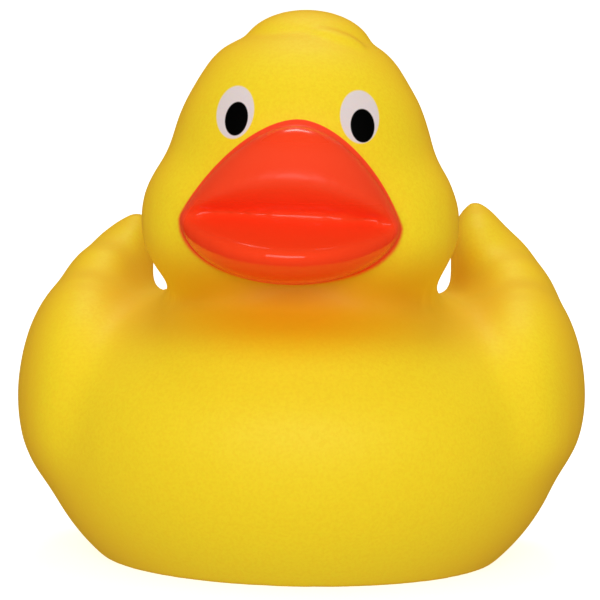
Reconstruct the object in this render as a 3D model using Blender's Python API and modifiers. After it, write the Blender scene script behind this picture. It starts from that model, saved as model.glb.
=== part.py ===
"""Rubber duck: a hollow vinyl shell, moulded in one piece, with a squeaker pressed into its base.

The duck faces -Y, with +X on its own left and +Z up. The origin is on the ground under its middle.
Sizes are written in millimetres and scaled once, where a mesh is made.
"""

import math
from typing import NamedTuple

import bpy
import bmesh
from mathutils import Matrix, Vector

MM = 0.001

# The moulded shell
WALL = 2.0  # thickness of the vinyl
BASE_WALL = 3.2  # it is thicker round the squeaker
BODY_VOXEL = 1.5  # grid on which the lumps of the body are melted into one skin
BODY_SOFTENING = 14  # smoothing passes that turn the creases between lumps into fillets
CAVITY_VOXEL = 2.0
CAVITY_SOFTENING = 4
SKIN_TRIANGLES = 4200
CAVITY_TRIANGLES = 1700

# The squeaker and its seat in the base
SQUEAKER_Y = 14.0
SQUEAKER_SIDES = 40
FIT_GAP = 0.3
FLANGE_RADIUS = 8.0
FLANGE_THICKNESS = 1.0
CUP_RADIUS = 5.7
CUP_HEIGHT = 8.0
CUP_WALL = 1.2
AIR_HOLE_RADIUS = 1.5

YELLOW = (0.87, 0.62, 0.03, 1.0)
WHITE = (0.8, 0.8, 0.78, 1.0)


class Lump(NamedTuple):
    """An egg: a ball whose reach differs to the front and back, and up and down."""

    x: float
    y: float
    z: float
    half_width: float
    front: float
    back: float
    up: float
    down: float
    lean: float = 0.0  # degrees by which its top leans inwards, towards the duck's middle
    pitch: float = 0.0  # degrees by which its back end rises
    sides: tuple = (1,)  # 1 is on the duck's left, -1 on its right


BOTH = (1, -1)

# One lump for each swelling of the duck
LUMPS = {
    "hull": Lump(-0.1, 2, 20, 39.2, 38, 40, 21.9, 30.2),
    "chest": Lump(0, -10, 28, 27, 22, 20, 13, 18),
    "neck": Lump(0.5, -7, 40, 19.0, 16, 18, 9, 10),
    "cranium": Lump(-0.3, -8, 58, 19.2, 18.5, 20, 20.4, 18),
    "crown": Lump(-0.1, -6.5, 70, 14.7, 14, 14, 8.2, 8),
    "left_cheek": Lump(8.7, -10, 50.5, 14.2, 15.5, 17, 13.2, 13.2),
    "right_cheek": Lump(9.3, -10, 50.5, 14.2, 15.5, 17, 13.2, 13.2, sides=(-1,)),
    "muzzle": Lump(-0.4, -14, 51, 14, 12.5, 10, 12, 9),
    "left_wing": Lump(31.7, 5, 23.3, 10.2, 25, 27, 18, 12.8, 0, 8),
    "right_wing": Lump(31.9, 5, 23.3, 10.3, 25, 27, 18, 15.0, 0, 8, sides=(-1,)),
    "left_wing_back": Lump(31.9, 15, 33.5, 7.8, 14, 16, 12, 12, 10, 10),
    "right_wing_back": Lump(31.6, 15, 33.5, 7.1, 14, 16, 12, 12, 10, 10, sides=(-1,)),
    "left_wing_shoulder": Lump(29.4, 19, 37.8, 6.7, 11, 14, 7, 10, 10, 30),
    "right_wing_shoulder": Lump(30.0, 19, 37.4, 6.1, 11, 14, 7, 10, 10, 30, sides=(-1,)),
    "left_wing_tip": Lump(26.2, 22, 41.2, 4.9, 10, 13, 8, 12, 8, 38),
    "right_wing_tip": Lump(28.1, 22, 38.7, 4.0, 10, 13, 8, 12, 10, 38, sides=(-1,)),
    "tuft": Lump(0.4, -5, 74.6, 10.1, 8.5, 9.5, 6.3, 5),
    "tail": Lump(0, 34, 32, 13, 14, 17, 8, 12, 0, 40),
}


class Rim(NamedTuple):
    """One closed loop of the bill: an arch above its two corners, a bowl below them."""

    half_width: float
    top: float
    corner: float
    bottom: float
    y_top: float
    y_corner: float
    y_bottom: float
    arch: float  # 2 makes the upper edge a parabola, and more makes it flatter in the middle
    bowl: float  # 2 makes the lower edge an ellipse, and more makes it fuller


# From the root inside the head, over the lips and down into the open mouth
BILL_RIMS = (
    Rim(13.0, 61.2, 51.2, 45.4, -14.0, -10.0, -14.0, 1.85, 2.1),
    Rim(14.8, 65.3, 51.2, 42.4, -20.5, -17.0, -20.0, 1.8, 2.1),
    Rim(15.4, 65.5, 51.2, 42.6, -26.2, -22.4, -27.5, 1.8, 2.1),
    Rim(15.6, 64.7, 51.2, 43.5, -28.8, -24.0, -33.0, 1.8, 2.1),
    Rim(15.6, 62.3, 51.3, 44.9, -31.3, -25.2, -36.6, 1.9, 2.1),
    Rim(15.4, 59.9, 51.4, 46.2, -33.6, -26.0, -38.6, 2.1, 2.0),
    Rim(15.1, 58.4, 51.6, 47.5, -34.2, -26.4, -38.3, 2.3, 1.8),
    Rim(14.5, 56.9, 51.8, 48.7, -33.2, -26.2, -36.4, 2.3, 1.8),
    Rim(13.9, 54.8, 52.1, 50.7, -31.0, -25.6, -32.2, 2.3, 1.9),
    Rim(13.3, 53.0, 52.4, 52.2, -28.4, -24.8, -28.6, 2.2, 2.0),
)
BILL_X = -1.1  # the bill sits a little off the middle
BILL_TILT = 1.5  # degrees by which it dips on the duck's left
BILL_LEAN = 4.0  # degrees by which its top leans to the duck's left
CORNER_ROUNDING = 0.86  # 1 leaves the corners of the bill sharp, and less rounds them
LIP_SWEEP = 2.3  # how squarely the lips run forward: 2 is a parabola seen from above
BILL_POINTS = 24  # round each rim


def clear_scene():
    for old in list(bpy.data.objects):
        bpy.data.objects.remove(old, do_unlink=True)


def new_collection(name):
    made = bpy.data.collections.new(name)
    bpy.context.scene.collection.children.link(made)
    return made


def material(name, colour, roughness):
    made = bpy.data.materials.new(name)
    made.use_nodes = True
    shader = made.node_tree.nodes["Principled BSDF"]
    shader.inputs["Base Color"].default_value = colour
    shader.inputs["Roughness"].default_value = roughness
    return made


def put_in(obj, collection):
    for old in list(obj.users_collection):
        old.objects.unlink(obj)
    collection.objects.link(obj)


def select_only(*objects):
    bpy.ops.object.select_all(action="DESELECT")
    for obj in objects:
        obj.select_set(True)
    bpy.context.view_layer.objects.active = objects[0]


def apply_modifier(obj, kind, **settings):
    modifier = obj.modifiers.new(kind.title(), kind)
    for key, value in settings.items():
        setattr(modifier, key, value)
    select_only(obj)
    bpy.ops.object.modifier_apply(modifier=modifier.name)


def helper(obj, cutters):
    """Keeps obj as a cutter only: a wire that no render shows."""
    put_in(obj, cutters)
    obj.hide_render = True
    obj.display_type = "WIRE"
    return obj


def combine(obj, cutter, operation="DIFFERENCE"):
    apply_modifier(obj, "BOOLEAN", object=cutter, operation=operation, solver="EXACT")


def thin_out(obj, triangles):
    """Collapses edges until about this many triangles are left."""
    now = sum(len(face.vertices) - 2 for face in obj.data.polygons)
    apply_modifier(obj, "DECIMATE", ratio=triangles / now)


def egg(name, lump, side):
    """A ball stretched by the lump's reach on each side, then leant, pitched and put in its place."""
    bpy.ops.mesh.primitive_uv_sphere_add(segments=48, ring_count=32, radius=1.0)
    ball = bpy.context.object
    ball.name = name
    for vertex in ball.data.vertices:
        x, y, z = vertex.co
        vertex.co = (
            x * lump.half_width,
            y * (lump.back if y > 0 else lump.front),
            z * (lump.up if z > 0 else lump.down),
        )
    lean = Matrix.Rotation(math.radians(-lump.lean * side), 4, "Y")
    pitch = Matrix.Rotation(math.radians(lump.pitch), 4, "X")
    place = Matrix.Translation((lump.x * side, lump.y, lump.z))
    ball.data.transform(Matrix.Scale(MM, 4) @ place @ lean @ pitch)
    return ball


def melted_lumps():
    """All the lumps as one closed skin, with soft fillets where they meet."""
    eggs = []
    for name, lump in LUMPS.items():
        for side in lump.sides:
            eggs.append(egg(name, lump, side))
    select_only(*eggs)
    bpy.ops.object.join()
    skin = bpy.context.object
    apply_modifier(skin, "REMESH", mode="VOXEL", voxel_size=BODY_VOXEL * MM)
    apply_modifier(skin, "SMOOTH", factor=0.5, iterations=BODY_SOFTENING)
    return skin


def rim_points(rim):
    """The rim's points, from the corner on the duck's left over the top and back under the bottom."""
    points = []
    tilt = math.tan(math.radians(BILL_TILT))
    lean = math.tan(math.radians(BILL_LEAN))
    for i in range(BILL_POINTS):
        turn = 2 * math.pi * i / BILL_POINTS
        across = math.cos(turn)
        if math.sin(turn) > 0:
            rise, end_z, end_y = (1 - abs(across) ** rim.arch) ** CORNER_ROUNDING, rim.top, rim.y_top
        else:
            rise, end_z, end_y = (1 - abs(across) ** rim.bowl) ** (1 / rim.bowl), rim.bottom, rim.y_bottom
        sweep = 1 - abs(across) ** LIP_SWEEP
        y = rim.y_corner + (end_y - rim.y_corner) * sweep
        z = rim.corner + (end_z - rim.corner) * rise
        x = rim.half_width * across
        points.append(Vector((BILL_X + x + (z - 51.2) * lean, y, z - x * tilt)))
    return points


def bill(cutters):
    """The bill as lofted rims, closed at its root and along the crease of the mouth."""
    mesh = bmesh.new()
    loops = [[mesh.verts.new(p * MM) for p in rim_points(rim)] for rim in BILL_RIMS]
    mesh.faces.new(reversed(loops[0]))
    for outer, inner in zip(loops, loops[1:]):
        for i in range(BILL_POINTS):
            j = (i + 1) % BILL_POINTS
            mesh.faces.new((outer[i], outer[j], inner[j], inner[i]))
    # The last rim is nearly a slot: rungs across it make the crease
    last, half = loops[-1], BILL_POINTS // 2
    for i in range(1, half - 1):
        j = BILL_POINTS - i
        mesh.faces.new((last[i], last[i + 1], last[j - 1], last[j]))
    mesh.faces.new((last[0], last[1], last[-1]))
    mesh.faces.new((last[half - 1], last[half], last[half + 1]))
    bmesh.ops.recalc_face_normals(mesh, faces=mesh.faces)
    data = bpy.data.meshes.new("bill")
    mesh.to_mesh(data)
    mesh.free()
    made = bpy.data.objects.new("bill", data)
    bpy.context.scene.collection.objects.link(made)
    apply_modifier(made, "SUBSURF", levels=1, render_levels=1)
    return helper(made, cutters)


def block_below(name, top, cutters):
    """A wide block that takes away all below one height."""
    bpy.ops.mesh.primitive_cube_add(size=1.0)
    block = bpy.context.object
    block.name = name
    size = Matrix.Diagonal((200, 200, 80, 1))
    block.data.transform(Matrix.Scale(MM, 4) @ Matrix.Translation((0, 0, top - 40)) @ size)
    return helper(block, cutters)


def disc(name, radius, bottom, top):
    """A cylinder standing on the squeaker's axis."""
    bpy.ops.mesh.primitive_cylinder_add(
        vertices=SQUEAKER_SIDES,
        radius=radius * MM,
        depth=(top - bottom) * MM,
        location=(0, SQUEAKER_Y * MM, (bottom + top) / 2 * MM),
    )
    made = bpy.context.object
    made.name = name
    bpy.ops.object.transform_apply(location=True, rotation=True, scale=True)
    return made


def cavity(skin, cutters):
    """The air inside: the skin drawn in by the wall, with a level floor over the base."""
    made = skin.copy()
    made.data = skin.data.copy()
    bpy.context.scene.collection.objects.link(made)
    made.name = "cavity"
    apply_modifier(made, "DISPLACE", strength=-WALL * MM, mid_level=0.0)
    apply_modifier(made, "REMESH", mode="VOXEL", voxel_size=CAVITY_VOXEL * MM)
    apply_modifier(made, "SMOOTH", factor=0.5, iterations=CAVITY_SOFTENING)
    thin_out(made, CAVITY_TRIANGLES)
    combine(made, block_below("floor", BASE_WALL, cutters))
    return helper(made, cutters)


def moulded_shell(parts, cutters):
    """The hollow duck with its bill, its flat base and the stepped hole for the squeaker."""
    skin = melted_lumps()
    inside = cavity(skin, cutters)
    thin_out(skin, SKIN_TRIANGLES)
    combine(skin, bill(cutters), "UNION")
    combine(skin, block_below("ground", 0, cutters))
    combine(skin, inside)
    combine(skin, helper(disc("bore", CUP_RADIUS + FIT_GAP, -2, BASE_WALL + 2), cutters))
    seat_top = FLANGE_THICKNESS + 2 * FIT_GAP
    combine(skin, helper(disc("seat", FLANGE_RADIUS + FIT_GAP, -2, seat_top), cutters))
    skin.name = "moulded_shell"
    skin.data.materials.clear()
    skin.data.materials.append(material("yellow_vinyl", YELLOW, 0.5))
    put_in(skin, parts)


def squeaker(parts, cutters):
    """A flanged cup, open above, with the air hole through its floor."""
    cup = disc("squeaker", CUP_RADIUS, FIT_GAP, CUP_HEIGHT)
    flange = disc("flange", FLANGE_RADIUS, FIT_GAP, FIT_GAP + FLANGE_THICKNESS)
    combine(cup, helper(flange, cutters), "UNION")
    floor = FIT_GAP + CUP_WALL
    hollow = disc("cup_hollow", CUP_RADIUS - CUP_WALL, floor, CUP_HEIGHT + 2)
    combine(cup, helper(hollow, cutters))
    combine(cup, helper(disc("air_hole", AIR_HOLE_RADIUS, -2, floor + 1), cutters))
    cup.data.materials.append(material("white_plastic", WHITE, 0.4))
    put_in(cup, parts)


def main():
    clear_scene()
    parts = new_collection("rubber_duck")
    cutters = new_collection("cutters")
    moulded_shell(parts, cutters)
    squeaker(parts, cutters)


main()
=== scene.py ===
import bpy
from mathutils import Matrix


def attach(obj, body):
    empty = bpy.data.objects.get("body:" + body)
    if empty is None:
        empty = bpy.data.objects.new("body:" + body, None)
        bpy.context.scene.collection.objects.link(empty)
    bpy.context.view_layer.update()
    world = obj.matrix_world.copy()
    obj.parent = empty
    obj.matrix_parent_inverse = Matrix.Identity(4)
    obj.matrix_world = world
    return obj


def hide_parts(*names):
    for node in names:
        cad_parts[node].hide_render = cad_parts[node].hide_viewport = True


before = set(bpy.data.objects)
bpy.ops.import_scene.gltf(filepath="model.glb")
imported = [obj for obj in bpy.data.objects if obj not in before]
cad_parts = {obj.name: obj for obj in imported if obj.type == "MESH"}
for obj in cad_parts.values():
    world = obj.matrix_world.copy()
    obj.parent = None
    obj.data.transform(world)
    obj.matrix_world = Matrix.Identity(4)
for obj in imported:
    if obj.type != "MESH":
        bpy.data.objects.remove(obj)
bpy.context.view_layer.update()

import math
from typing import NamedTuple

import bpy
import numpy as np
from bpy.props import FloatProperty, FloatVectorProperty, IntProperty, PointerProperty
from mathutils import Matrix, Vector

bl_info = {
    "name": "Rubber Duck",
    "version": (1, 0, 0),
    "blender": (4, 5, 0),
    "location": "3D View > Sidebar > Duck",
    "description": "A moulded vinyl bath duck with a sprayed bill, printed eyes and a squeaker",
    "category": "Add Mesh",
}

MM = 0.001


# ---------------------------------------------------------------- shapes, in millimetres


class Lump(NamedTuple):
    """An egg: a ball whose reach differs to the front and back, and up and down."""

    x: float
    y: float
    z: float
    half_width: float
    front: float
    back: float
    up: float
    down: float
    lean: float = 0.0  # degrees by which its top leans inwards, towards the duck's middle
    pitch: float = 0.0  # degrees by which its back end rises
    sides: tuple = (1,)  # 1 is on the duck's left, -1 on its right


# One lump for each swelling of the duck
LUMPS = {
    "hull": Lump(-0.1, 2, 20, 39.2, 38, 40, 21.9, 30.2),
    "chest": Lump(0, -10, 28, 27, 22, 20, 13, 18),
    "neck": Lump(0.5, -7, 40, 19.0, 16, 18, 9, 10),
    "cranium": Lump(-0.3, -8, 58, 19.2, 18.5, 20, 20.4, 18),
    "crown": Lump(-0.4, -6.5, 70, 14.9, 14, 14, 8.2, 8),
    "left_cheek": Lump(8.7, -10, 50.5, 14.2, 15.5, 17, 13.2, 13.2),
    "right_cheek": Lump(9.3, -10, 50.5, 14.2, 15.5, 17, 13.2, 13.2, sides=(-1,)),
    "muzzle": Lump(-0.4, -14, 51, 14, 12.5, 10, 12, 9),
    "left_wing": Lump(31.8, 5, 23.3, 10.2, 25, 27, 18, 11.9, 0, 8),
    "right_wing": Lump(31.8, 5, 23.3, 10.4, 25, 27, 18, 15.0, 0, 8, sides=(-1,)),
    "left_wing_back": Lump(31.8, 15, 32.7, 7.35, 14, 16, 12, 12, 10, 10),
    "right_wing_back": Lump(31.7, 15, 32.9, 7.1, 14, 16, 12, 12, 10, 10, sides=(-1,)),
    "left_wing_shoulder": Lump(29.4, 19, 37.8, 6.7, 11, 14, 7, 10, 10, 30),
    "right_wing_shoulder": Lump(29.7, 19, 37.4, 6.1, 11, 14, 7, 10, 10, 30, sides=(-1,)),
    "left_wing_tip": Lump(26.2, 22, 41.2, 4.9, 10, 13, 8, 12, 8, 38),
    "right_wing_tip": Lump(28.1, 22, 38.7, 4.0, 10, 13, 8, 12, 10, 38, sides=(-1,)),
    "tail": Lump(0, 34, 32, 13, 14, 17, 8, 12, 0, 40),
}
# What stays crisp: the cap of feathers on the head, and the curl at its front
FINE_LUMPS = (
    Lump(0.1, -5, 74.3, 9.6, 9, 10, 6.2, 5),
    Lump(4.6, -11.6, 76.4, 4.3, 2.3, 3.5, 1.4, 1.6, -19, 0),
)


class Rim(NamedTuple):
    """One closed loop of the bill: an arch above its two corners, a bowl below them."""

    half_width: float
    top: float
    corner: float
    bottom: float
    y_top: float
    y_corner: float
    y_bottom: float
    arch: float  # 2 makes the upper edge a parabola, and more makes it flatter in the middle
    bowl: float  # 2 makes the lower edge an ellipse, and more makes it fuller


# From the root inside the head, over the lips and down into the open mouth
BILL_RIMS = (
    Rim(12.0, 60.0, 51.2, 46.0, -14.0, -10.0, -14.0, 1.85, 2.1),
    Rim(14.0, 64.2, 51.2, 42.8, -21.0, -17.0, -20.0, 1.8, 2.1),
    Rim(15.0, 65.3, 51.2, 42.6, -26.2, -22.2, -27.5, 1.8, 2.1),
    Rim(15.6, 65.7, 51.2, 43.6, -28.4, -24.0, -33.0, 1.8, 2.1),
    Rim(15.6, 63.6, 51.3, 45.5, -30.6, -25.2, -36.6, 1.9, 2.1),
    Rim(15.4, 60.2, 51.4, 47.1, -33.3, -26.0, -38.6, 2.1, 2.0),
    Rim(15.1, 58.2, 51.6, 48.5, -34.2, -26.4, -38.1, 2.3, 1.8),
    Rim(14.5, 56.6, 51.8, 49.1, -33.3, -26.2, -36.4, 2.3, 1.8),
    Rim(13.9, 54.6, 52.1, 50.6, -31.0, -25.6, -32.5, 2.3, 1.9),
    Rim(13.3, 53.0, 52.4, 52.2, -28.4, -24.8, -28.6, 2.2, 2.0),
)
BILL_X = -1.1  # the bill sits a little off the middle
BILL_TILT = 1.5  # degrees by which it dips on the duck's left
BILL_LEAN = 4.0  # degrees by which its top leans to the duck's left
CORNER_Z = 51.2  # height of the bill's corners, about which it leans
CORNER_ROUNDING = 0.86  # 1 leaves the corners of the bill sharp, and less rounds them
LIP_SWEEP = 2.3  # how squarely the lips run forward: 2 is a parabola seen from above
BILL_POINTS = 24  # round each rim
# Where the sprayed paint ends, seen from the front
PAINT_EDGE = Rim(15.75, 65.85, 51.2, 42.55, 0, 0, 0, 1.8, 2.1)

PAINT_BACK, PAINT_FOOT = -12, 38  # no paint lies behind the one or below the other
NO_PAINT = 20.0  # the gap noted where there is no paint

SQUEAKER_Y = 14.0
SEAT_RADIUS, SEAT_TOP = 8.3, 1.6
BORE_RADIUS, BORE_TOP = 6.0, 10.0
DRILL_OVERRUN = 5  # how far a drill reaches below the ground


class Oval(NamedTuple):
    """A printed oval, as it is seen from the front."""

    x: float
    z: float
    half_width: float
    half_height: float
    lean: float  # degrees by which its top leans towards the duck's middle


EYE_WHITES = (Oval(-9.2, 66.45, 2.66, 3.66, 11.5), Oval(8.25, 66.2, 2.66, 3.66, 10.5))
PUPILS = (Oval(-8.98, 65.6, 1.63, 2.36, 11.0), Oval(8.7, 65.0, 1.65, 2.33, 8.5))

NECK_Z = 40.5  # the middle of the fold between head and body

# ---------------------------------------------------------------- finish

MOTTLE_TONE = (0.97, 0.93, 0.8)  # red, green and blue, against the plain vinyl
# painted shade: the deeper orange of the fold under the head
NECK_SHADE_TONE = (0.83, 0.5, 0.11)
# painted shade: vinyl seen edge-on is turned a deeper orange
EDGE_SHADE_GREEN, EDGE_SHADE_BLUE = 0.85, 0.6
LOW_PAINT_TONE = (1.0, 0.4, 0.3)
DULL_TONE = (0.9, 0.9, 0.9)
VINYL_ROUGHNESS = (0.55, 0.61)
BILL_ROUGHNESS = 0.16
LIP_ROUGHNESS = 0.42
PAINT_EDGE_ROUGHNESS = 0.62
PRINT_ROUGHNESS = 0.32

# ---------------------------------------------------------------- studio, in metres and watts


class Softbox(NamedTuple):
    """A rectangular light."""

    name: str
    place: tuple
    aim: tuple
    size: tuple
    power: float


SOFTBOXES = (
    Softbox("front_softbox", (0.05, -2.05, 0.6), (0, 0, 0.04), (1.6, 0.9), 21.0),
    Softbox("rear_strip", (0, 0.75, 1.65), (0, 0, 0.06), (0.8, 0.34), 6.8),
)
AIR_COLOUR, AIR_STRENGTH = (1.0, 0.8, 0.59, 1.0), 0.6
CAMERA_TURN, CAMERA_RISE, CAMERA_ROLL = 2.2, 6.1, 1.1  # degrees
CAMERA_DISTANCE, CAMERA_LENS = 0.55, 226.7  # metres, and millimetres of focal length
CAMERA_AIM = (-0.0003, -0.004, 0.0383)


# ---------------------------------------------------------------- settings


class DuckSettings(bpy.types.PropertyGroup):
    body_grid: FloatProperty(
        name="Body grid", description="Grid on which the lumps of the body are melted together",
        default=0.0015, unit="LENGTH", min=0.0005, max=0.005)
    body_softening: IntProperty(
        name="Body softening", description="Smoothing passes that make fillets between the lumps",
        default=17, min=0, max=60)
    skin_grid: FloatProperty(
        name="Skin grid", description="Grid of the finished skin",
        default=0.00058, unit="LENGTH", min=0.0003, max=0.003)
    skin_softening: IntProperty(
        name="Skin softening",
        description="Smoothing passes that round the lips and the base's edge",
        default=5, min=0, max=30)
    vinyl: FloatVectorProperty(
        name="Vinyl", description="Colour of the moulded vinyl", subtype="COLOR", size=4,
        default=(0.94, 0.775, 0.014, 1.0), min=0, max=1)
    bill_paint: FloatVectorProperty(
        name="Bill paint", description="Colour sprayed on the bill", subtype="COLOR", size=4,
        default=(1.0, 0.062, 0.014, 1.0), min=0, max=1)
    eye_white: FloatVectorProperty(
        name="Eye white", description="Colour of the printed eyeballs", subtype="COLOR", size=4,
        default=(0.76, 0.745, 0.84, 1.0), min=0, max=1)
    pupil: FloatVectorProperty(
        name="Pupil", description="Colour of the printed pupils", subtype="COLOR", size=4,
        default=(0.0008, 0.0008, 0.0008, 1.0), min=0, max=1)
    squeaker: FloatVectorProperty(
        name="Squeaker", description="Colour of the squeaker's plastic", subtype="COLOR", size=4,
        default=(0.75, 0.75, 0.72, 1.0), min=0, max=1)
    floor: FloatVectorProperty(
        name="Floor", description="Colour of the studio floor", subtype="COLOR", size=4,
        default=(0.92, 0.92, 0.92, 1.0), min=0, max=1)


# ---------------------------------------------------------------- modelling helpers


def deselect_all():
    if bpy.context.object and bpy.context.object.mode != "OBJECT":
        bpy.ops.object.mode_set(mode="OBJECT")
    bpy.ops.object.select_all(action="DESELECT")


def pick(*objects):
    deselect_all()
    for obj in objects:
        obj.select_set(True)
    bpy.context.view_layer.objects.active = objects[0]


def select_points(obj, chosen):
    """Goes into edit mode with only the points that pass the test selected."""
    pick(obj)
    bpy.ops.object.mode_set(mode="EDIT")
    bpy.ops.mesh.select_mode(type="VERT")
    bpy.ops.mesh.select_all(action="DESELECT")
    bpy.ops.object.mode_set(mode="OBJECT")
    for point in obj.data.vertices:
        point.select = bool(chosen(point.co))
    bpy.ops.object.mode_set(mode="EDIT")


def stretch(obj, chosen, factors):
    """Scales the chosen points about the origin."""
    select_points(obj, chosen)
    bpy.ops.transform.resize(value=factors, center_override=(0, 0, 0))
    bpy.ops.object.mode_set(mode="OBJECT")


def finish_with(obj, kind, **settings):
    modifier = obj.modifiers.new(kind.title(), kind)
    for key, value in settings.items():
        setattr(modifier, key, value)
    pick(obj)
    bpy.ops.object.modifier_apply(modifier=modifier.name)


def cut_with(obj, cutter):
    finish_with(obj, "BOOLEAN", object=cutter, operation="DIFFERENCE", solver="EXACT")
    bpy.data.objects.remove(cutter, do_unlink=True)


def add_lump(name, lump, side):
    """A ball whose halves are pulled out to the lump's reaches, then turned and placed."""
    deselect_all()
    bpy.ops.mesh.primitive_uv_sphere_add(segments=48, ring_count=32, radius=MM)
    ball = bpy.context.object
    ball.name = name
    stretch(ball, lambda p: True, (lump.half_width, 1, 1))
    stretch(ball, lambda p: p.y < 0, (1, lump.front, 1))
    stretch(ball, lambda p: p.y > 0, (1, lump.back, 1))
    stretch(ball, lambda p: p.z > 0, (1, 1, lump.up))
    stretch(ball, lambda p: p.z < 0, (1, 1, lump.down))
    ball.rotation_euler = (math.radians(lump.pitch), math.radians(-lump.lean * side), 0)
    ball.location = (lump.x * side * MM, lump.y * MM, lump.z * MM)
    pick(ball)
    bpy.ops.object.transform_apply(location=True, rotation=True, scale=True)
    return ball


def rim_points(rim, count=BILL_POINTS):
    """The rim's points, from the corner on the duck's left over the top and back below."""
    points = []
    tilt = math.tan(math.radians(BILL_TILT))
    lean = math.tan(math.radians(BILL_LEAN))
    for i in range(count):
        turn = 2 * math.pi * i / count
        across = math.cos(turn)
        if math.sin(turn) > 0:
            rise = (1 - abs(across) ** rim.arch) ** CORNER_ROUNDING
            end_z, end_y = rim.top, rim.y_top
        else:
            rise = (1 - abs(across) ** rim.bowl) ** (1 / rim.bowl)
            end_z, end_y = rim.bottom, rim.y_bottom
        sweep = 1 - abs(across) ** LIP_SWEEP
        y = rim.y_corner + (end_y - rim.y_corner) * sweep
        z = rim.corner + (end_z - rim.corner) * rise
        x = rim.half_width * across
        points.append(Vector((BILL_X + x + (z - CORNER_Z) * lean, y, z - x * tilt)) * MM)
    return points


def add_bill():
    """A disc whose face is extruded from rim to rim: out of the head, over the lips, and in."""
    deselect_all()
    bpy.ops.mesh.primitive_circle_add(vertices=BILL_POINTS, radius=0.01, fill_type="NGON")
    bill = bpy.context.object
    bill.name = "bill_form"
    rim = rim_points(BILL_RIMS[0])
    for point, place in zip(bill.data.vertices, rim):
        point.co = place
    select_points(bill, lambda p: True)
    for following in BILL_RIMS[1:]:
        bpy.ops.mesh.extrude_region_move()
        bpy.ops.object.mode_set(mode="OBJECT")
        fresh = [p for p in bill.data.vertices if p.select]
        places = rim_points(following)
        for point in fresh:
            nearest = min(range(BILL_POINTS), key=lambda i: (rim[i] - point.co).length)
            point.co = places[nearest]
        rim = places
        bpy.ops.object.mode_set(mode="EDIT")
    # The last face is a slot: a ladder of faces across it makes the crease of the mouth
    bpy.ops.mesh.delete(type="ONLY_FACE")
    bpy.ops.mesh.select_mode(type="EDGE")
    bpy.ops.mesh.select_all(action="DESELECT")
    bpy.ops.mesh.select_non_manifold()
    bpy.ops.mesh.fill_grid(span=1)
    bpy.ops.mesh.select_all(action="SELECT")
    bpy.ops.mesh.normals_make_consistent(inside=False)
    bpy.ops.object.mode_set(mode="OBJECT")
    finish_with(bill, "SUBSURF", levels=2, render_levels=2)
    return bill


def add_block_below_ground():
    deselect_all()
    bpy.ops.mesh.primitive_cube_add(size=0.2, location=(0, 0, -0.1))
    block = bpy.context.object
    bpy.ops.object.transform_apply(location=True, rotation=True, scale=True)
    return block


def add_drill(radius, top):
    deselect_all()
    bpy.ops.mesh.primitive_cylinder_add(
        vertices=96, radius=radius * MM, depth=(top + DRILL_OVERRUN) * MM,
        location=(0, SQUEAKER_Y * MM, (top - DRILL_OVERRUN) / 2 * MM))
    drill = bpy.context.object
    bpy.ops.object.transform_apply(location=True, rotation=True, scale=True)
    return drill


def note_bill_gap(skin):
    """Keeps, at each point of the skin, how many millimetres outside the bill's paint it is.

    The paint's edge is a loop seen from the front. Points inside it have a gap below zero.
    """
    loop = np.array([(p.x, p.z) for p in rim_points(PAINT_EDGE, 96)]) / MM
    ahead = np.roll(loop, -1, axis=0)
    run = ahead - loop
    gaps = skin.data.attributes.new("bill_gap", "FLOAT", "POINT")
    for point, gap in zip(skin.data.vertices, gaps.data):
        gap.value = NO_PAINT
        if point.co.y > PAINT_BACK * MM or point.co.z < PAINT_FOOT * MM:
            continue
        here = np.array((point.co.x, point.co.z)) / MM
        along = np.clip(((here - loop) * run).sum(axis=1) / (run * run).sum(axis=1), 0, 1)
        distance = np.hypot(*(here - loop - run * along[:, None]).T).min()
        spans = (loop[:, 1] > here[1]) != (ahead[:, 1] > here[1])
        slope = run[spans, 0] / run[spans, 1]
        crossing = loop[spans, 0] + (here[1] - loop[spans, 1]) * slope
        inside = (crossing > here[0]).sum() % 2 == 1
        gap.value = -distance if inside else distance


# ---------------------------------------------------------------- node helpers


class Graph:
    """Short names for the nodes and links that a material or a group is built from."""

    def __init__(self, tree):
        self.tree = tree
        self.column = 0

    def add(self, kind, links=(), **values):
        made = self.tree.nodes.new(kind)
        made.location = (self.column * 180, 0)
        self.column += 1
        for key, value in values.items():
            setattr(made, key, value)
        for socket, source in dict(links).items():
            self.feed(made.inputs[socket], source)
        return made

    def feed(self, socket, source):
        if isinstance(source, bpy.types.NodeSocket):
            self.tree.links.new(source, socket)
        else:
            socket.default_value = source

    def maths(self, operation, *sources, clamp=False):
        made = self.add("ShaderNodeMath", operation=operation, use_clamp=clamp)
        for socket, source in zip(made.inputs, sources):
            self.feed(socket, source)
        return made.outputs[0]

    def ramp(self, source, start, end, low=0.0, high=1.0):
        """A smooth step from low to high as the source goes from start to end."""
        made = self.add(
            "ShaderNodeMapRange",
            {"Value": source, "From Min": start, "From Max": end,
             "To Min": low, "To Max": high},
            interpolation_type="SMOOTHSTEP")
        return made.outputs["Result"]

    def product(self, *sources):
        result = sources[0]
        for source in sources[1:]:
            result = self.maths("MULTIPLY", result, source)
        return result

    def shift(self, value, target, factor):
        """The value, moved towards the target by the factor."""
        return self.maths("MULTIPLY_ADD", self.maths("SUBTRACT", target, value), factor, value)

    def length(self, first, second):
        squares = (self.product(first, first), self.product(second, second))
        return self.maths("SQRT", self.maths("ADD", *squares))

    def blend(self, factor, below, above):
        made = self.add("ShaderNodeMix", data_type="RGBA")
        self.feed(made.inputs["Factor"], factor)
        self.feed(made.inputs["A"], below)
        self.feed(made.inputs["B"], above)
        return made.outputs["Result"]


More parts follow.
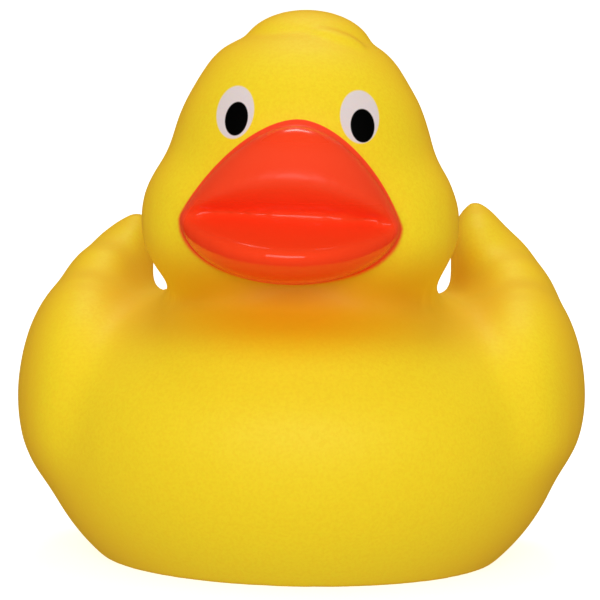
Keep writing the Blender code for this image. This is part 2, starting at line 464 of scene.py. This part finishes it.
def new_group(name, inputs, outputs):
    group = bpy.data.node_groups.new(name, "ShaderNodeTree")
    for label, kind, default in inputs:
        socket = group.interface.new_socket(name=label, in_out="INPUT", socket_type=kind)
        if default is not None:
            socket.default_value = default
    for label, kind in outputs:
        group.interface.new_socket(name=label, in_out="OUTPUT", socket_type=kind)
    graph = Graph(group)
    entry = graph.add("NodeGroupInput")
    leave = graph.add("NodeGroupOutput")
    return group, graph, entry.outputs, leave.inputs


NUMBER, VECTOR = "NodeSocketFloat", "NodeSocketVector"


def oval_print_group():
    """Mask of a leaning oval, printed from the front on whatever lies behind it."""
    group, graph, given, result = new_group(
        "Oval Print",
        (("Position", VECTOR, None), ("Across", NUMBER, 0.0), ("Height", NUMBER, 0.0),
         ("Half Width", NUMBER, 1.0), ("Half Height", NUMBER, 1.0), ("Lean", NUMBER, 0.0),
         ("Softness", NUMBER, 0.03)),
        (("Mask", NUMBER),))
    parts = graph.add("ShaderNodeSeparateXYZ", {"Vector": given["Position"]}).outputs
    dx = graph.maths("SUBTRACT", parts["X"], given["Across"])
    dz = graph.maths("SUBTRACT", parts["Z"], given["Height"])
    cos = graph.maths("COSINE", given["Lean"])
    sin = graph.maths("SINE", given["Lean"])
    u = graph.maths("SUBTRACT", graph.product(dx, cos), graph.product(dz, sin))
    v = graph.maths("ADD", graph.product(dx, sin), graph.product(dz, cos))
    u = graph.maths("DIVIDE", u, given["Half Width"])
    v = graph.maths("DIVIDE", v, given["Half Height"])
    inside = graph.maths("SUBTRACT", 1.0, graph.length(u, v))
    rim = graph.maths("ADD", inside, given["Softness"])
    edge = graph.maths("DIVIDE", rim, graph.product(given["Softness"], 2.0), clamp=True)
    front = graph.ramp(parts["Y"], -8.0, -12.0)
    graph.feed(result["Mask"], graph.product(edge, front))
    return group


def moulded_grain_group():
    """Fine grain and faint mottling of moulded plastic."""
    group, graph, given, result = new_group(
        "Moulded Grain",
        (("Position", VECTOR, None), ("Grain Scale", NUMBER, 3.0),
         ("Mottle Scale", NUMBER, 0.4)),
        (("Height", NUMBER), ("Mottle", NUMBER)))
    fine = graph.add(
        "ShaderNodeTexNoise",
        {"Vector": given["Position"], "Scale": given["Grain Scale"],
         "Detail": 3.0, "Roughness": 0.55})
    broad = graph.add(
        "ShaderNodeTexNoise",
        {"Vector": given["Position"], "Scale": given["Mottle Scale"],
         "Detail": 4.0, "Roughness": 0.6})
    graph.feed(result["Height"], fine.outputs["Fac"])
    graph.feed(result["Mottle"], broad.outputs["Fac"])
    return group


def group_node(graph, name, builder, links):
    group = bpy.data.node_groups.get(name) or builder()
    made = graph.add("ShaderNodeGroup", node_tree=group)
    for socket, source in links.items():
        graph.feed(made.inputs[socket], source)
    return made.outputs


def new_material(name):
    made = bpy.data.materials.new(name)
    made.use_nodes = True
    made.node_tree.nodes.clear()
    graph = Graph(made.node_tree)
    shader = graph.add("ShaderNodeBsdfPrincipled")
    output = graph.add("ShaderNodeOutputMaterial", {"Surface": shader.outputs[0]})
    output.location = (300, 300)
    return made, graph, shader.inputs


def position_in_mm(graph):
    """The point's own place on the piece, in millimetres."""
    where = graph.add("ShaderNodeTexCoord").outputs["Object"]
    scaled = graph.add("ShaderNodeVectorMath", operation="SCALE")
    graph.feed(scaled.inputs[0], where)
    graph.feed(scaled.inputs["Scale"], 1000.0)
    return scaled.outputs["Vector"]


# ---------------------------------------------------------------- materials


def toned(colour, tone):
    """The colour with its red, green and blue multiplied by the tone's, and opaque."""
    return tuple(c * k for c, k in zip(colour, tone)) + (1.0,)


def height_of(graph, where):
    return graph.add("ShaderNodeSeparateXYZ", {"Vector": where}).outputs["Z"]


def oval_mask(graph, where, ovals):
    masks = []
    for oval in ovals:
        side = 1 if oval.x < 0 else -1
        out = group_node(graph, "Oval Print", oval_print_group, {
            "Position": where, "Across": oval.x, "Height": oval.z,
            "Half Width": oval.half_width, "Half Height": oval.half_height,
            "Lean": math.radians(oval.lean) * side, "Softness": 0.03})
        masks.append(out["Mask"])
    return graph.maths("MAXIMUM", *masks)


def bill_mask(graph, where, gap):
    """Paint is crisp round the top of the bill, and drifts as a fine spray under the chin."""
    noise = graph.add("ShaderNodeTexNoise", {"Vector": where, "Scale": 4.0, "Detail": 2.0})
    drift = graph.product(graph.maths("SUBTRACT", noise.outputs["Fac"], 0.5), 0.5)
    low = graph.ramp(height_of(graph, where), 56.0, 48.0)
    start = graph.maths("MULTIPLY_ADD", low, -0.3, -0.06)
    width = graph.maths("MULTIPLY_ADD", low, 0.6, 0.12)
    rough_gap = graph.maths("MULTIPLY_ADD", graph.product(drift, low), 0.6, gap)
    over = graph.maths("DIVIDE", graph.maths("SUBTRACT", rough_gap, start), width)
    return graph.maths("SUBTRACT", 1.0, graph.ramp(over, 0.0, 1.0))


def neck_shade_mask(graph, where):
    """The fold between head and body, where shade is painted into the vinyl as a deeper orange.
    """
    parts = graph.add("ShaderNodeSeparateXYZ", {"Vector": where}).outputs
    rise = graph.maths("ABSOLUTE", graph.maths("SUBTRACT", parts["Z"], NECK_Z))
    level = graph.ramp(rise, 10.0, 0.0)
    reach = graph.length(parts["X"], graph.product(parts["Y"], 0.75))
    return graph.product(level, graph.ramp(reach, 32.0, 23.0))


def vinyl_colour(graph, settings, where, mottle):
    """Plain vinyl, a little mottled, with shade painted in as deeper orange in the neck and
    edge-on.
    """
    plain = tuple(settings.vinyl)
    colour = graph.blend(graph.ramp(mottle, 0.35, 0.7), plain, toned(plain, MOTTLE_TONE))
    # painted shade in the fold between head and body
    colour = graph.blend(neck_shade_mask(graph, where), colour, toned(plain, NECK_SHADE_TONE))
    # painted shade where the vinyl turns away and is seen edge-on
    edge_on_shade = graph.add("ShaderNodeLayerWeight", {"Blend": 0.5}).outputs["Facing"]
    edge_shade_colour = (1.0, plain[1] * EDGE_SHADE_GREEN, plain[2] * EDGE_SHADE_BLUE, 1.0)
    return graph.blend(graph.ramp(edge_on_shade, 0.3, 0.95), colour, edge_shade_colour)


def vinyl_roughness(graph, height, gap, bill, printed, mottle):
    """Satin vinyl, a glossy bill that is duller on its upper lip and paint edge, and prints."""
    rough = graph.ramp(mottle, 0.3, 0.7, *VINYL_ROUGHNESS)
    rough = graph.shift(rough, BILL_ROUGHNESS, bill)
    rough = graph.shift(rough, PRINT_ROUGHNESS, printed)
    lip = graph.product(graph.ramp(height, 52.0, 57.5), graph.ramp(height, 65.0, 60.5), bill)
    rough = graph.shift(rough, LIP_ROUGHNESS, lip)
    thin = graph.product(graph.ramp(gap, -1.3, -0.4), bill)
    return graph.shift(rough, PAINT_EDGE_ROUGHNESS, thin)


def vinyl_material(settings):
    made, graph, shader = new_material("painted_vinyl")
    where = position_in_mm(graph)
    height = height_of(graph, where)
    gap = graph.add("ShaderNodeAttribute", attribute_name="bill_gap").outputs["Fac"]
    grain = group_node(graph, "Moulded Grain", moulded_grain_group,
                       {"Position": where, "Grain Scale": 2.6, "Mottle Scale": 2.0})
    bill = bill_mask(graph, where, gap)
    white = oval_mask(graph, where, EYE_WHITES)
    black = oval_mask(graph, where, PUPILS)
    printed = graph.maths("MAXIMUM", white, black)

    bill_paint = tuple(settings.bill_paint)
    low = graph.ramp(height, 46.8, 44.2)
    paint = graph.blend(low, bill_paint, toned(bill_paint, LOW_PAINT_TONE))
    colour = vinyl_colour(graph, settings, where, grain["Mottle"])
    colour = graph.blend(bill, colour, paint)
    colour = graph.blend(white, colour, tuple(settings.eye_white))
    colour = graph.blend(black, colour, tuple(settings.pupil))
    graph.feed(shader["Base Color"], colour)
    graph.feed(shader["Roughness"],
               vinyl_roughness(graph, height, gap, bill, printed, grain["Mottle"]))

    coated = graph.maths("MAXIMUM", bill, printed)
    relief = graph.product(grain["Height"], graph.maths("MULTIPLY_ADD", coated, -0.75, 1.0))
    film = graph.maths("MULTIPLY_ADD", printed, 0.6, relief)
    bump = graph.add("ShaderNodeBump", {"Strength": 0.35, "Distance": 0.00006, "Height": film})
    graph.feed(shader["Normal"], bump.outputs["Normal"])
    shader["Subsurface Weight"].default_value = 0.1
    shader["Subsurface Radius"].default_value = (1.0, 0.5, 0.2)
    shader["Subsurface Scale"].default_value = 0.0015
    shader["IOR"].default_value = 1.45
    shader["Specular IOR Level"].default_value = 0.38
    return made


def squeaker_material(settings):
    made, graph, shader = new_material("squeaker_plastic")
    where = position_in_mm(graph)
    grain = group_node(graph, "Moulded Grain", moulded_grain_group,
                       {"Position": where, "Grain Scale": 4.0, "Mottle Scale": 0.6})
    plain = tuple(settings.squeaker)
    graph.feed(shader["Base Color"], graph.blend(grain["Mottle"], plain, toned(plain, DULL_TONE)))
    graph.feed(shader["Roughness"], graph.ramp(grain["Mottle"], 0.3, 0.7, 0.32, 0.45))
    bump = graph.add(
        "ShaderNodeBump", {"Strength": 0.3, "Distance": 0.00004, "Height": grain["Height"]})
    graph.feed(shader["Normal"], bump.outputs["Normal"])
    return made


def floor_material(settings):
    made, graph, shader = new_material("studio_floor")
    graph.feed(shader["Base Color"], tuple(settings.floor))
    shader["Roughness"].default_value = 0.9
    shader["Specular IOR Level"].default_value = 0.1
    shader["Emission Color"].default_value = (1.0, 1.0, 1.0, 1.0)
    shader["Emission Strength"].default_value = 0.7
    return made


# ---------------------------------------------------------------- operators


class DUCK_OT_shell(bpy.types.Operator):
    """Melt the duck's lumps and its bill into one moulded skin, and paint it"""

    bl_idname = "duck.shell"
    bl_label = "Moulded Shell"

    def execute(self, context):
        settings = context.scene.duck
        eggs = []
        for name, lump in LUMPS.items():
            for side in lump.sides:
                eggs.append(add_lump(name, lump, side))
        pick(*eggs)
        bpy.ops.object.join()
        skin = context.object
        skin.name = "duck_skin"
        finish_with(skin, "REMESH", mode="VOXEL", voxel_size=settings.body_grid)
        finish_with(skin, "SMOOTH", factor=0.5, iterations=settings.body_softening)
        finish_with(skin, "SUBSURF", levels=1, render_levels=1)
        cut_with(skin, add_block_below_ground())
        fine = [add_lump("feather", lump, side) for lump in FINE_LUMPS for side in lump.sides]
        bill = add_bill()
        pick(skin, bill, *fine)
        bpy.ops.object.join()
        finish_with(skin, "REMESH", mode="VOXEL", voxel_size=settings.skin_grid)
        finish_with(skin, "SMOOTH", factor=0.5, iterations=settings.skin_softening)
        cut_with(skin, add_drill(SEAT_RADIUS, SEAT_TOP))
        cut_with(skin, add_drill(BORE_RADIUS, BORE_TOP))
        lowest = min(point.co.z for point in skin.data.vertices)
        skin.data.transform(Matrix.Translation((0, 0, -lowest)))
        note_bill_gap(skin)
        pick(skin)
        bpy.ops.object.shade_smooth_by_angle(angle=math.radians(50))
        skin.data.materials.clear()
        skin.data.materials.append(vinyl_material(settings))
        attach(skin, "root")
        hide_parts("moulded_shell")
        return {"FINISHED"}


class DUCK_OT_squeaker(bpy.types.Operator):
    """Give the squeaker in the base its plastic finish"""

    bl_idname = "duck.squeaker"
    bl_label = "Squeaker"

    def execute(self, context):
        squeaker = bpy.data.objects["squeaker"]
        finish = squeaker_material(context.scene.duck)
        for slot in squeaker.material_slots:
            slot.material = finish
        return {"FINISHED"}


def add_sweep(floor_finish):
    """A wide, flat floor."""
    deselect_all()
    bpy.ops.mesh.primitive_plane_add(size=40.0, location=(0, 0, 0))
    sweep = bpy.context.object
    sweep.name = "studio_sweep"
    bpy.ops.object.transform_apply(location=True, rotation=True, scale=True)
    sweep.data.materials.append(floor_finish)
    # Paper this white would wash out the duck, so it takes the light without giving it back
    sweep.visible_diffuse = False
    sweep.visible_glossy = False


def add_softbox(box):
    light = bpy.data.lights.new(box.name, "AREA")
    light.shape = "RECTANGLE"
    light.size, light.size_y = box.size
    light.energy = box.power
    lamp = bpy.data.objects.new(box.name, light)
    bpy.context.scene.collection.objects.link(lamp)
    lamp.location = box.place
    sight = Vector(box.aim) - Vector(box.place)
    lamp.rotation_euler = sight.to_track_quat("-Z", "Y").to_euler()


def add_camera():
    """A long lens in front of the duck, a little above it and to its left."""
    turn, rise, roll = (math.radians(angle) for angle in (CAMERA_TURN, CAMERA_RISE, CAMERA_ROLL))
    back = Vector((
        math.sin(turn) * math.cos(rise), -math.cos(turn) * math.cos(rise), math.sin(rise)))
    right = Vector((math.cos(turn), math.sin(turn), 0))
    up = back.cross(right)
    across = right * math.cos(roll) + up * math.sin(roll)
    over = up * math.cos(roll) - right * math.sin(roll)
    data = bpy.data.cameras.new("camera")
    data.lens = CAMERA_LENS
    data.sensor_width = 36.0
    data.clip_start, data.clip_end = 0.01, 60.0
    camera = bpy.data.objects.new("camera", data)
    bpy.context.scene.collection.objects.link(camera)
    turned = Matrix((across, over, back)).transposed().to_4x4()
    place = Vector(CAMERA_AIM) + back * CAMERA_DISTANCE
    camera.matrix_world = Matrix.Translation(place) @ turned
    bpy.context.scene.camera = camera


class DUCK_OT_stage(bpy.types.Operator):
    """Set the pale floor, the soft lights and the camera"""

    bl_idname = "duck.stage"
    bl_label = "Studio"

    def execute(self, context):
        settings = context.scene.duck
        add_sweep(floor_material(settings))
        for box in SOFTBOXES:
            add_softbox(box)
        world = bpy.data.worlds.new("studio_air")
        world.use_nodes = True
        shade = world.node_tree.nodes["Background"]
        shade.inputs["Color"].default_value = AIR_COLOUR
        shade.inputs["Strength"].default_value = AIR_STRENGTH
        world.cycles_visibility.glossy = False
        context.scene.world = world
        context.scene.view_settings.view_transform = "Standard"
        add_camera()
        return {"FINISHED"}


class DUCK_PT_panel(bpy.types.Panel):
    """Lists the duck's pieces and its sizes and colours"""

    bl_idname = "DUCK_PT_panel"
    bl_label = "Rubber Duck"
    bl_space_type = "VIEW_3D"
    bl_region_type = "UI"
    bl_category = "Duck"

    def draw(self, context):
        for operator in PIECES:
            self.layout.operator(operator.bl_idname)
        for name in DuckSettings.__annotations__:
            self.layout.prop(context.scene.duck, name)


PIECES = (DUCK_OT_shell, DUCK_OT_squeaker, DUCK_OT_stage)
CLASSES = (DuckSettings, *PIECES, DUCK_PT_panel)


def register():
    for made in CLASSES:
        bpy.utils.register_class(made)
    bpy.types.Scene.duck = PointerProperty(type=DuckSettings)


def unregister():
    del bpy.types.Scene.duck
    for made in reversed(CLASSES):
        bpy.utils.unregister_class(made)


def main():
    register()
    bpy.ops.duck.shell()
    bpy.ops.duck.squeaker()
    bpy.ops.duck.stage()


if __name__ == "__main__":
    main()
